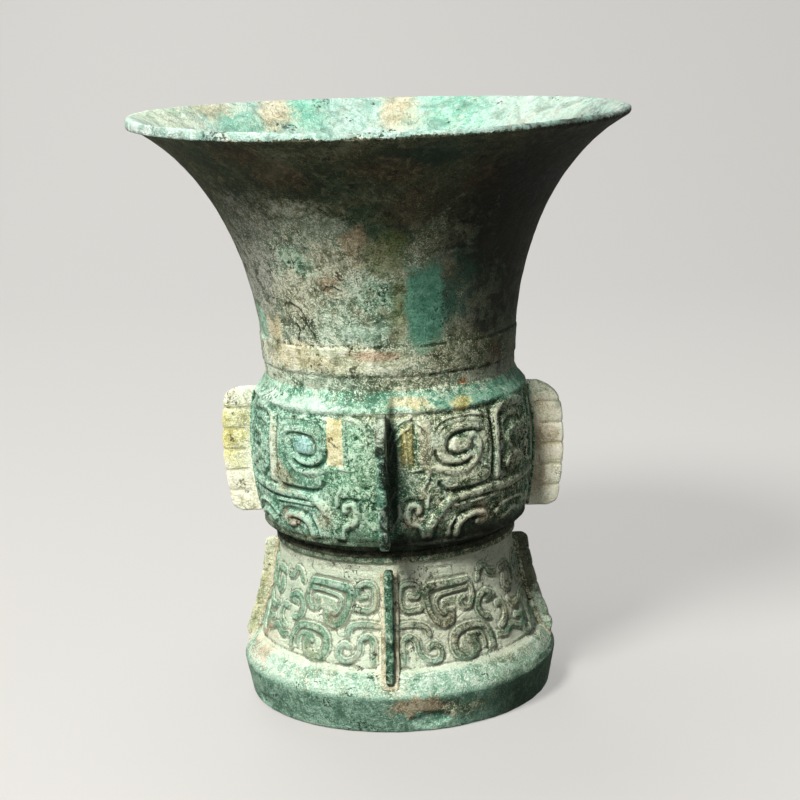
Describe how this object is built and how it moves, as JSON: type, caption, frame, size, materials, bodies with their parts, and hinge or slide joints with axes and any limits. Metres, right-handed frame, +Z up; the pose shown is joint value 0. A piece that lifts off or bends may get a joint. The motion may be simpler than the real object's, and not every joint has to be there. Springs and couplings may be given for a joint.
{
  "type": "bronze goblet",
  "caption": "Trumpet-mouthed ritual bronze goblet with carved drum belly, upright flanges, dished bowl and a flared hollow foot.",
  "frame": {"origin": "centre of the foot's standing face, on the surface it rests on", "axes": "+Z up through the mouth; the front flanges point towards -Y, the right ones towards +X"},
  "size_m": [0.159, 0.159, 0.19],
  "materials": {
    "neck_patina": "dull cast bronze, mottled green, grey-cream and brown patina, sandy",
    "belly_patina": "dull cast bronze, blue-green patina with cream bloom on the carving",
    "foot_patina": "dull cast bronze, pale mint and cream patina, green on the band",
    "bowl_patina": "dull cast bronze, pale green patina inside the bowl",
    "green_flange": "dull cast bronze, dark green patina",
    "pale_flange": "dull cast bronze, cream and yellow bloom",
    "filler": "solder and earth filler, pale cream, matt"
  },
  "bodies": {
    "root": {"neck": "neck_patina", "belly": "belly_patina", "foot": "foot_patina", "bowl_floor": "bowl_patina", "neck_braze_ring": "belly_patina", "floor_braze_ring": "bowl_patina", "waist_braze_ring": "foot_patina", "belly_flange_front": "green_flange", "foot_flange_front": "green_flange", "belly_flange_bead_front": "filler", "foot_flange_bead_front": "filler", "belly_flange_right": "pale_flange", "foot_flange_right": "green_flange", "belly_flange_bead_right": "filler", "foot_flange_bead_right": "filler", "belly_flange_back": "pale_flange", "foot_flange_back": "green_flange", "belly_flange_bead_back": "filler", "foot_flange_bead_back": "filler", "belly_flange_left": "pale_flange", "foot_flange_left": "green_flange", "belly_flange_bead_left": "filler", "foot_flange_bead_left": "filler"}
  },
  "joints": []
}
